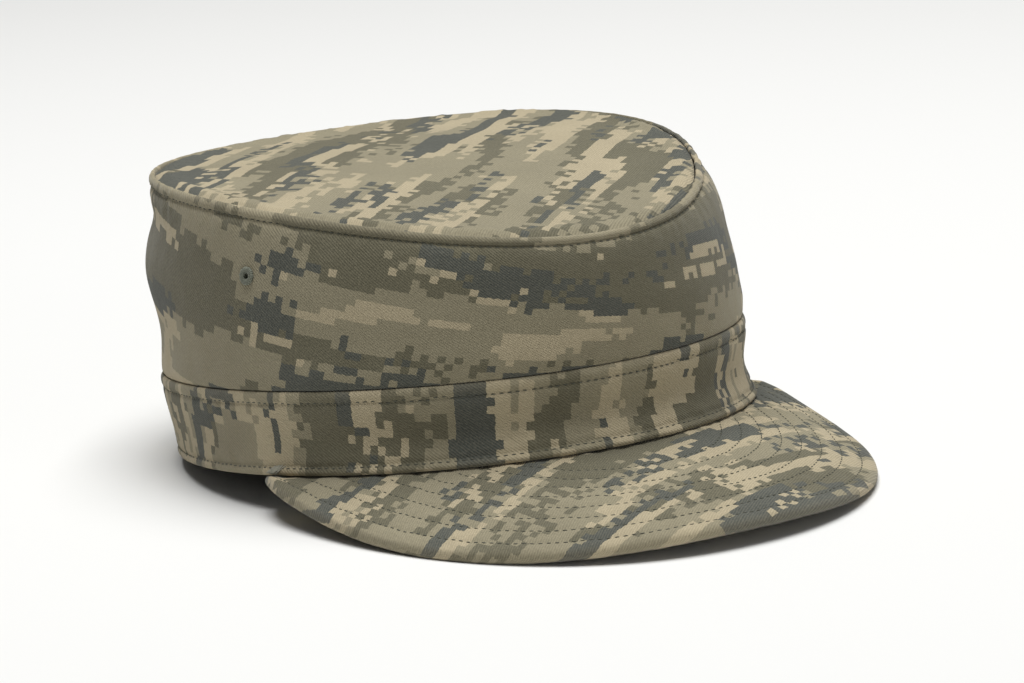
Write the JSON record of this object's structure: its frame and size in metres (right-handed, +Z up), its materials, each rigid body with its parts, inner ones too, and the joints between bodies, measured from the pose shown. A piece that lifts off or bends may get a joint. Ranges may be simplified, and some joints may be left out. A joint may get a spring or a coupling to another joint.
{
  "type": "peaked cap",
  "caption": "Soft field cap in camouflage twill: oval top panel, tall side wall with a folded welt, separate band, stitched stiff peak and sewn side eyelets.",
  "frame": {"origin": "on the floor under the middle of the whole cap, peak included", "axes": "+Z up, the peak points to -Y, the wearer's right is -X"},
  "size_m": [0.1882, 0.2704, 0.094],
  "materials": {
    "crown_cloth": "printed cotton twill, matte",
    "band_cloth": "printed cotton twill, matte, pressed double",
    "peak_cloth": "printed cotton twill, matte, row-stitched over a stiff core",
    "thread": "overcast sewing thread"
  },
  "bodies": {
    "root": {"crown_top": "crown_cloth", "crown_side": "crown_cloth", "head_band": "band_cloth", "peak": "peak_cloth", "vent_eyelet_right": "thread", "vent_eyelet_left": "thread"}
  },
  "joints": []
}
